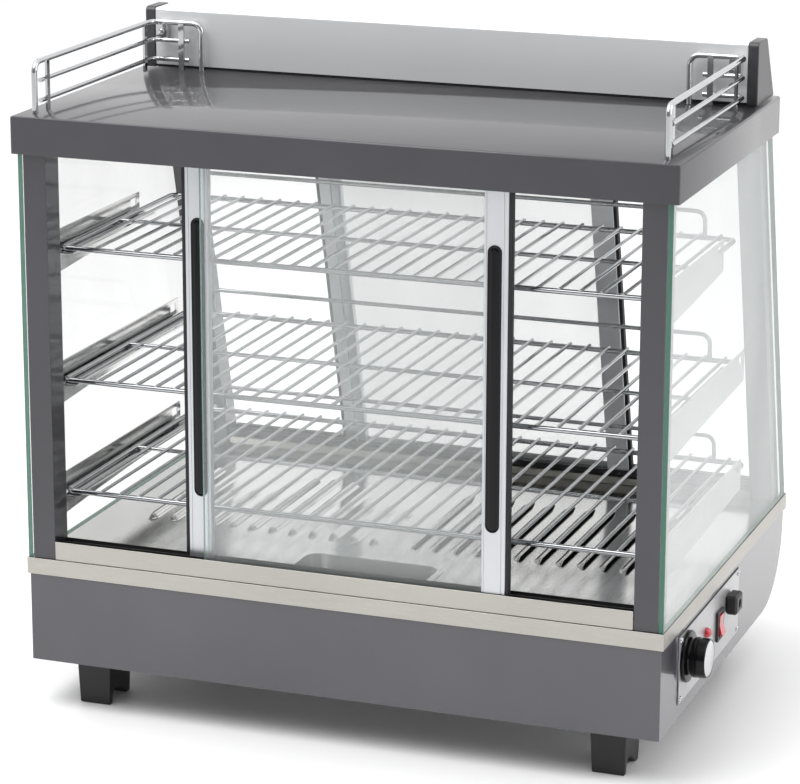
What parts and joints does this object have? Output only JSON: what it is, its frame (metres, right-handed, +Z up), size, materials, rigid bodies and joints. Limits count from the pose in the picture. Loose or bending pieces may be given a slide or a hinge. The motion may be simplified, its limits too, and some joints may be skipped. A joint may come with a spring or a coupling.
{
  "type": "hot food display case",
  "caption": "Countertop heated food display case with sliding glass doors on both long sides, wire shelves and a railed top tray.",
  "frame": {"origin": "centre of the bounding box, at the level of the surface that the feet stand on", "axes": "+Z up; +X along the long side towards the end with the controls; +Y from the upright long side to the leaning one"},
  "size_m": [0.6956, 0.4884, 0.676],
  "materials": {
    "grey_paint": "satin metallic paint",
    "brushed_steel": "brushed",
    "polished_steel": "polished",
    "chrome": "bright chrome",
    "aluminium": "satin anodised",
    "black_plastic": "matte",
    "gloss_black": "gloss",
    "red_plastic": "gloss, translucent",
    "glass": "clear, green at the edges",
    "plain_steel": "plain sheet",
    "element_steel": "oxidised sheath",
    "bakelite": "matte moulded"
  },
  "bodies": {
    "case": {"base_shell": "grey_paint", "base_cover": "plain_steel", "near_left_foot": "black_plastic", "near_right_foot": "black_plastic", "far_left_foot": "black_plastic", "far_right_foot": "black_plastic", "near_trim": "brushed_steel", "far_trim": "brushed_steel", "deck": "polished_steel", "near_sill": "brushed_steel", "far_sill": "brushed_steel", "near_lower_track": "black_plastic", "near_upper_track": "black_plastic", "far_lower_track": "black_plastic", "far_upper_track": "black_plastic", "near_left_post": "grey_paint", "near_right_post": "grey_paint", "far_left_post": "grey_paint", "far_right_post": "grey_paint", "left_side_glass": "glass", "right_side_glass": "glass", "top_left_bracket": "polished_steel", "top_right_bracket": "polished_steel", "middle_left_bracket": "polished_steel", "middle_right_bracket": "polished_steel", "bottom_left_bracket": "polished_steel", "bottom_right_bracket": "polished_steel", "top_tray": "grey_paint", "ceiling_panel": "polished_steel", "header_profile": "aluminium", "left_header_cap": "black_plastic", "right_header_cap": "black_plastic", "left_guard_rail": "chrome", "right_guard_rail": "chrome", "control_plate": "grey_paint", "thermostat_body": "bakelite", "switch_bezel": "black_plastic", "pilot_lamp": "red_plastic", "cable_gland": "black_plastic", "left_heating_element": "element_steel", "right_heating_element": "element_steel", "heat_shield": "plain_steel"},
    "near_right_door": {"near_right_door_glass": "glass", "near_right_door_stile": "aluminium", "near_right_door_pull": "gloss_black"},
    "near_left_door": {"near_left_door_glass": "glass", "near_left_door_stile": "aluminium", "near_left_door_pull": "gloss_black"},
    "far_left_door": {"far_left_door_glass": "glass", "far_left_door_stile": "aluminium", "far_left_door_pull": "gloss_black"},
    "far_right_door": {"far_right_door_glass": "glass", "far_right_door_stile": "aluminium", "far_right_door_pull": "gloss_black"},
    "top_shelf": {"top_shelf": "chrome"},
    "middle_shelf": {"middle_shelf": "chrome"},
    "bottom_shelf": {"bottom_shelf": "chrome"},
    "water_pan": {"water_pan": "polished_steel"},
    "thermostat_knob": {"thermostat_knob": "black_plastic"},
    "switch_rocker": {"switch_rocker": "red_plastic"}
  },
  "joints": [
    {"name": "near_right_door_slide", "type": "slide", "parent": "case", "child": "near_right_door", "axis": [1, 0, 0], "range_m": [-0.1595, 0.1245]},
    {"name": "near_left_door_slide", "type": "slide", "parent": "case", "child": "near_left_door", "axis": [1, 0, 0], "range_m": [-0.137, 0.147]},
    {"name": "far_left_door_slide", "type": "slide", "parent": "case", "child": "far_left_door", "axis": [1, 0, 0], "range_m": [-0.1325, 0.1515]},
    {"name": "far_right_door_slide", "type": "slide", "parent": "case", "child": "far_right_door", "axis": [1, 0, 0], "range_m": [-0.153, 0.131]},
    {"name": "top_shelf_lift", "type": "slide", "parent": "case", "child": "top_shelf", "axis": [0, 0, 1], "range_m": [0, 0.06]},
    {"name": "middle_shelf_lift", "type": "slide", "parent": "case", "child": "middle_shelf", "axis": [0, 0, 1], "range_m": [0, 0.06]},
    {"name": "bottom_shelf_lift", "type": "slide", "parent": "case", "child": "bottom_shelf", "axis": [0, 0, 1], "range_m": [0, 0.06]},
    {"name": "water_pan_lift", "type": "slide", "parent": "case", "child": "water_pan", "axis": [0, 0, 1], "range_m": [0, 0.045]},
    {"name": "thermostat_knob_turn", "type": "hinge", "parent": "case", "child": "thermostat_knob", "pos_m": [0.33625, -0.15225, 0.1075], "axis": [-1, 0, 0], "range_deg": [0, 270]},
    {"name": "switch_rocker_tip", "type": "hinge", "parent": "case", "child": "switch_rocker", "pos_m": [0.32505, -0.03125, 0.1], "axis": [0, 1, 0], "range_deg": [0, 14]}
  ]
}
